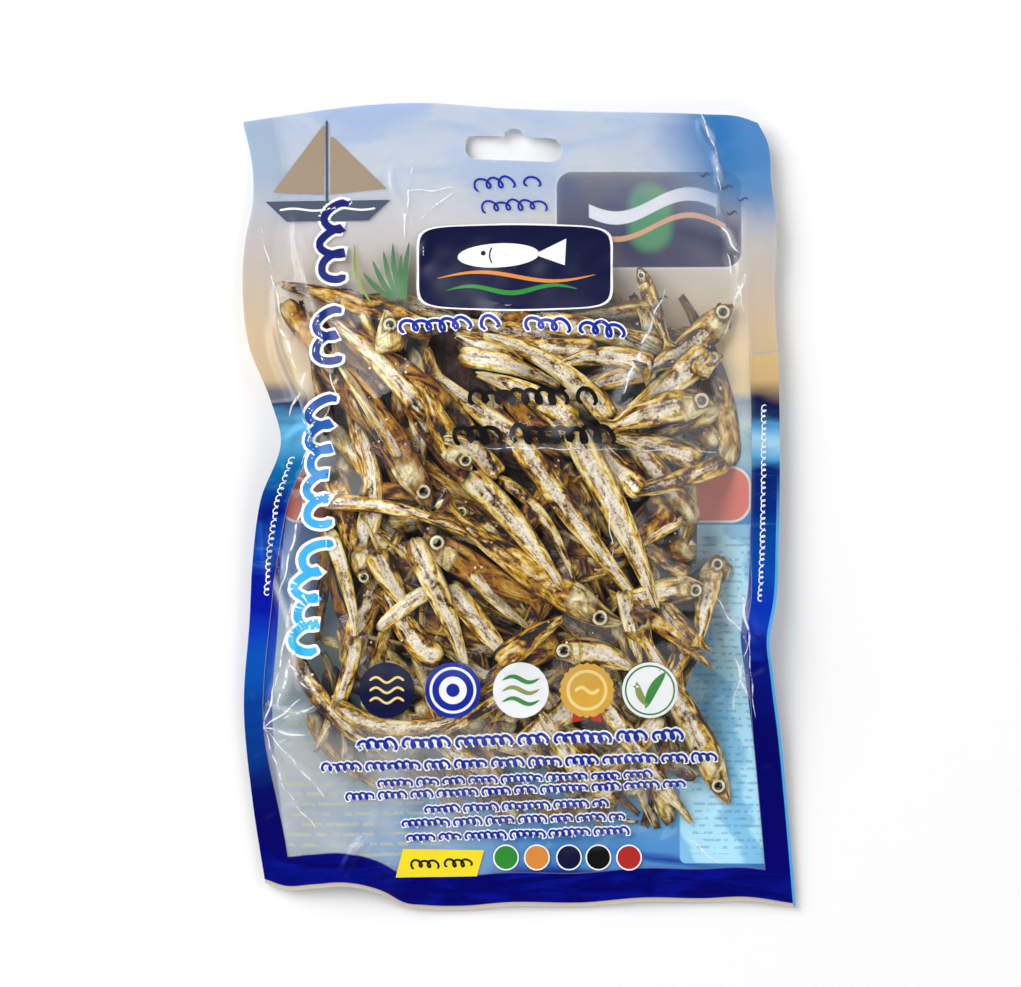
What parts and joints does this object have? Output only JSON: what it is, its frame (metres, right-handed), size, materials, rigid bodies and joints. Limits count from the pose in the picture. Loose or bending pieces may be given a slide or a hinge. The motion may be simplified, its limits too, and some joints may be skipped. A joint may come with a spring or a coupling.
{
  "type": "sealed pouch of dried anchovies",
  "caption": "Flat clear pouch of dried anchovies with sealed edges and a hang slot, lying on its back and filled out by the fish inside.",
  "frame": {"origin": "middle of the pouch's box across and along, on the surface that its back rests on", "axes": "+X across the pouch to the right of its front, +Y up its front towards the hang slot, +Z out of its front"},
  "size_m": [0.183, 0.267, 0.0315],
  "materials": {
    "printed_film": "glossy clear film with a colour print over dried fish"
  },
  "bodies": {
    "root": {"pouch": "printed_film"}
  },
  "joints": []
}
